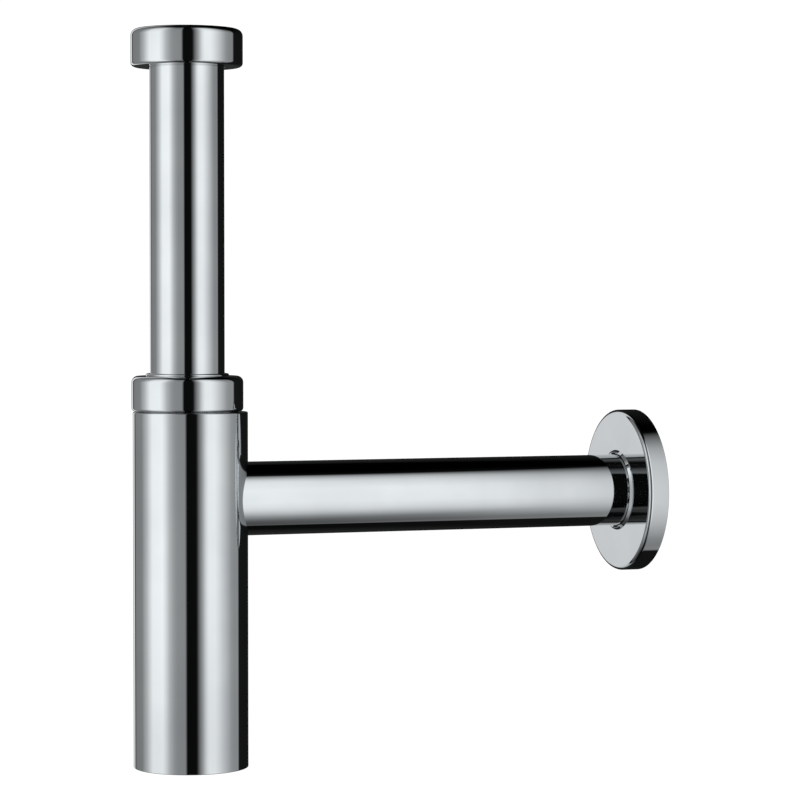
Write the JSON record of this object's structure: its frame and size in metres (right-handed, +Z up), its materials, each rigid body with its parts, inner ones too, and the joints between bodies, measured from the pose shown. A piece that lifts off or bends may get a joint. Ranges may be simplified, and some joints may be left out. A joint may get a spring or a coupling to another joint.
{
  "type": "bottle trap",
  "caption": "Chrome bottle trap for a washbasin: vertical inlet tube with union nut, slip nut, plain round body, and a straight outlet tube to a wall plate.",
  "frame": {"origin": "centre of the inlet gasket's top face, where the basin waste seats, at the inner end of the union nut's thread", "axes": "+Z up along the inlet tube towards the basin waste, +X along the outlet tube towards the wall, +Y across"},
  "size_m": [0.243, 0.0726, 0.3169],
  "materials": {
    "chrome_plate": "bright chrome plate on brass",
    "cast_brass": "as cast and turned, unplated",
    "black_rubber": "matt moulded",
    "white_acetal": "moulded, satin",
    "grey_polypropylene": "moulded, satin",
    "spring_steel": "ground, oiled"
  },
  "bodies": {
    "inlet_tube": {"inlet_tube": "chrome_plate", "inlet_gasket": "black_rubber"},
    "thrust_ring": {"union_thrust_ring": "white_acetal"},
    "union_nut": {"union_nut": "chrome_plate"},
    "wedge_seal": {"inlet_wedge_seal": "black_rubber"},
    "trap_body": {"trap_head": "cast_brass", "outlet_spigot": "cast_brass", "sleeve_top_washer": "white_acetal", "sleeve_snap_ring": "spring_steel", "outer_sleeve": "chrome_plate", "outlet_o_rings": "black_rubber"},
    "glide_ring": {"slip_glide_ring": "white_acetal"},
    "slip_nut": {"slip_nut": "chrome_plate"},
    "cup_seal": {"cup_seal": "black_rubber"},
    "cup": {"cleanout_cup": "grey_polypropylene", "cup_base_cap": "chrome_plate", "sleeve_centring_ring": "white_acetal"},
    "outlet_tube": {"outlet_tube": "chrome_plate"},
    "escutcheon": {"escutcheon_plate": "chrome_plate", "escutcheon_o_ring": "black_rubber", "escutcheon_clamp_ring": "white_acetal"}
  },
  "joints": [
    {"name": "union_drop", "type": "slide", "parent": "inlet_tube", "child": "thrust_ring", "axis": [0, 0, -1], "range_m": [0, 0.095]},
    {"name": "union_nut_turn", "type": "hinge", "parent": "thrust_ring", "child": "union_nut", "pos_m": [0, 0, 0], "axis": [0, 0, 1], "continuous": true},
    {"name": "body_height", "type": "slide", "parent": "inlet_tube", "child": "wedge_seal", "axis": [0, 0, 1], "range_m": [-0.015, 0.022]},
    {"name": "body_swivel", "type": "hinge", "parent": "wedge_seal", "child": "trap_body", "pos_m": [0, 0, -0.15], "axis": [0, 0, 1], "continuous": true},
    {"name": "slip_nut_lift", "type": "slide", "parent": "trap_body", "child": "glide_ring", "axis": [0, 0, 1], "range_m": [0, 0.0052]},
    {"name": "slip_nut_turn", "type": "hinge", "parent": "glide_ring", "child": "slip_nut", "pos_m": [0, 0, -0.148], "axis": [0, 0, 1], "range_deg": [0, 810]},
    {"name": "cup_drop", "type": "slide", "parent": "trap_body", "child": "cup_seal", "axis": [0, 0, -1], "range_m": [0, 0.01201]},
    {"name": "cup_turn", "type": "hinge", "parent": "cup_seal", "child": "cup", "pos_m": [0.0013, 0, -0.22], "axis": [0, 0, -1], "range_deg": [0, 1440]},
    {"name": "outlet_reach", "type": "slide", "parent": "trap_body", "child": "outlet_tube", "axis": [1, 0, 0], "range_m": [0, 0.018]},
    {"name": "escutcheon_slide", "type": "slide", "parent": "outlet_tube", "child": "escutcheon", "axis": [-1, 0, 0], "range_m": [0, 0.15]}
  ],
  "couplings": [
    {"joint": "slip_nut_lift", "follows": "slip_nut_turn", "m_per_rad": 0.00036749},
    {"joint": "cup_drop", "follows": "cup_turn", "m_per_rad": 0.00047746}
  ]
}
